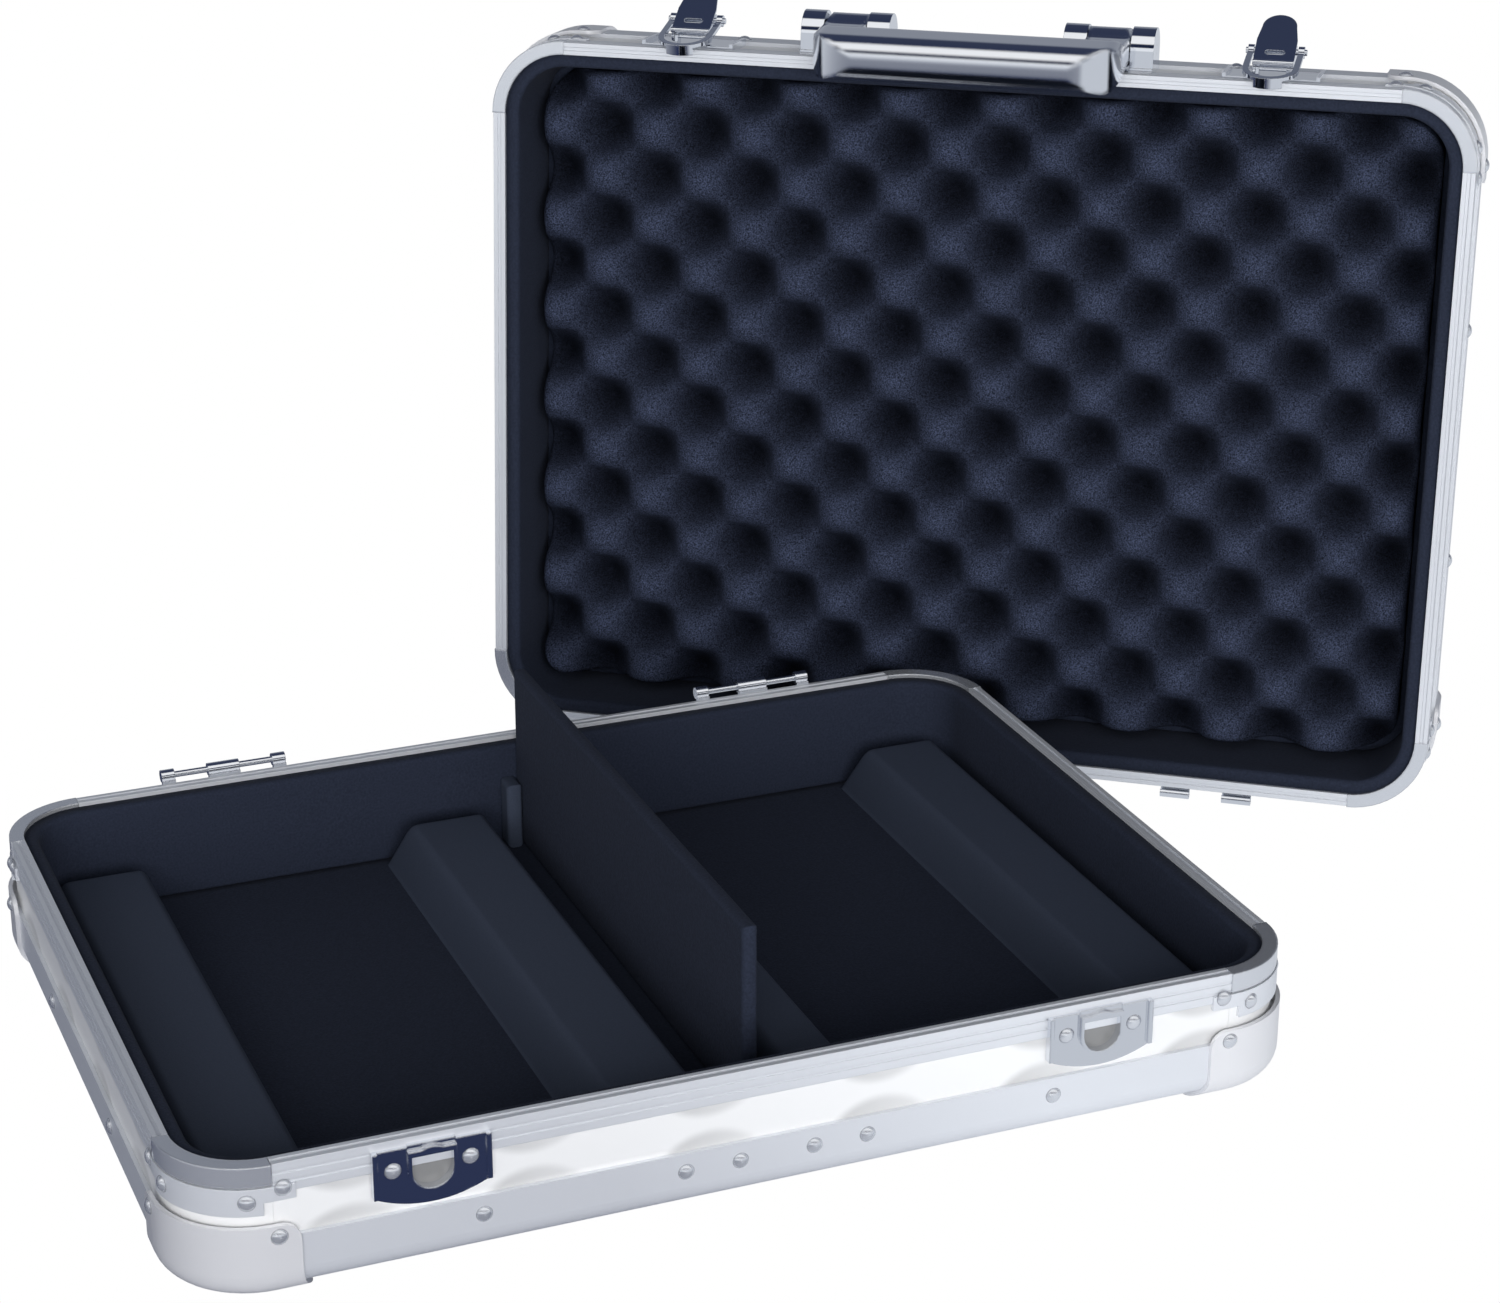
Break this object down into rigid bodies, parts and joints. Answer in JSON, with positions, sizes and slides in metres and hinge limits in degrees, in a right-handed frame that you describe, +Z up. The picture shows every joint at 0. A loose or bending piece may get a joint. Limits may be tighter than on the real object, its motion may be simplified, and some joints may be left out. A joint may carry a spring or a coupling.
{
  "type": "flight case with lift-off lid",
  "caption": "Shallow aluminium-edged equipment case, open, with a loose divider and foam bars in the base and its lift-off lid with convoluted foam, handle and draw latches stood behind.",
  "frame": {"origin": "centre of the underside of the base half, on the plane that its ball corners stand on", "axes": "+X along the width of the base, to the right seen from its latch side; +Y from the latch side to the hinge side; +Z up"},
  "size_m": [0.7463, 0.5778, 0.3989],
  "materials": {
    "silver_laminate": "satin",
    "satin_aluminium": "satin",
    "polished_steel": "brushed",
    "chrome": "polished",
    "lining_cloth": "matte",
    "grey_foam": "matte",
    "blue_black_foam": "matte"
  },
  "bodies": {
    "base": {"base_ball_corners": "polished_steel", "base_corner_blocks": "silver_laminate", "base_corner_clips": "satin_aluminium", "base_lower_rails": "satin_aluminium", "base_panel_board": "silver_laminate", "base_panel_felt": "lining_cloth", "base_rim_caps": "chrome", "base_rim_rails": "satin_aluminium", "base_rivets": "chrome", "base_wall_boards": "silver_laminate", "base_wall_lining": "lining_cloth", "divider_guide": "grey_foam", "foam_bar_1": "grey_foam", "foam_bar_2": "grey_foam", "foam_bar_3": "grey_foam", "foam_bar_4": "grey_foam", "left_hinge_leaf": "chrome", "left_hinge_rod": "chrome", "left_strike": "chrome", "right_hinge_leaf": "chrome", "right_hinge_rod": "chrome", "right_strike": "chrome"},
    "lid": {"egg_crate_foam": "blue_black_foam", "left_handle_foot": "chrome", "left_handle_pin": "chrome", "left_hinge_hooks": "chrome", "left_latch_plate": "chrome", "left_lever_pin": "chrome", "lid_ball_corners": "polished_steel", "lid_corner_blocks": "silver_laminate", "lid_corner_clips": "satin_aluminium", "lid_lower_rails": "satin_aluminium", "lid_panel_board": "silver_laminate", "lid_panel_felt": "lining_cloth", "lid_rim_caps": "chrome", "lid_rim_rails": "satin_aluminium", "lid_rivets": "chrome", "lid_wall_boards": "silver_laminate", "lid_wall_lining": "lining_cloth", "right_handle_foot": "chrome", "right_handle_pin": "chrome", "right_hinge_hooks": "chrome", "right_latch_plate": "chrome", "right_lever_pin": "chrome"},
    "loose_divider": {"divider": "lining_cloth"},
    "carrying_handle": {"handle": "chrome"},
    "left_lever": {"left_latch_lever": "chrome", "left_loop_pin": "chrome"},
    "left_loop": {"left_latch_loop": "chrome"},
    "right_lever": {"right_latch_lever": "chrome", "right_loop_pin": "chrome"},
    "right_loop": {"right_latch_loop": "chrome"}
  },
  "joints": [
    {"name": "lid_lift", "type": "slide", "parent": "base", "child": "lid", "axis": [0, 0, 1], "range_m": [0, 0.15]},
    {"name": "divider_lift", "type": "slide", "parent": "base", "child": "loose_divider", "axis": [0, 0, 1], "range_m": [0, 0.06]},
    {"name": "handle_fold", "type": "hinge", "parent": "lid", "child": "carrying_handle", "pos_m": [0.27238, 0.21243, 0.38256], "axis": [-0.7986, 0.6018, 0], "range_deg": [0, 90]},
    {"name": "left_lever_turn", "type": "hinge", "parent": "lid", "child": "left_lever", "pos_m": [0.15094, 0.29719, 0.37744], "axis": [0.7986, -0.6018, 0], "range_deg": [-35, 55]},
    {"name": "left_loop_turn", "type": "hinge", "parent": "left_lever", "child": "left_loop", "pos_m": [0.15715, 0.30543, 0.38358], "axis": [0.7986, -0.6018, 0], "range_deg": [-33, 22]},
    {"name": "right_lever_turn", "type": "hinge", "parent": "lid", "child": "right_lever", "pos_m": [0.38733, 0.11905, 0.37744], "axis": [0.7986, -0.6018, 0], "range_deg": [-35, 55]},
    {"name": "right_loop_turn", "type": "hinge", "parent": "right_lever", "child": "right_loop", "pos_m": [0.39354, 0.12729, 0.38358], "axis": [0.7986, -0.6018, 0], "range_deg": [-33, 22]}
  ],
  "couplings": [
    {"joint": "left_loop_turn", "follows": "left_lever_turn", "ratio": -0.57143},
    {"joint": "right_loop_turn", "follows": "right_lever_turn", "ratio": -0.57143}
  ]
}
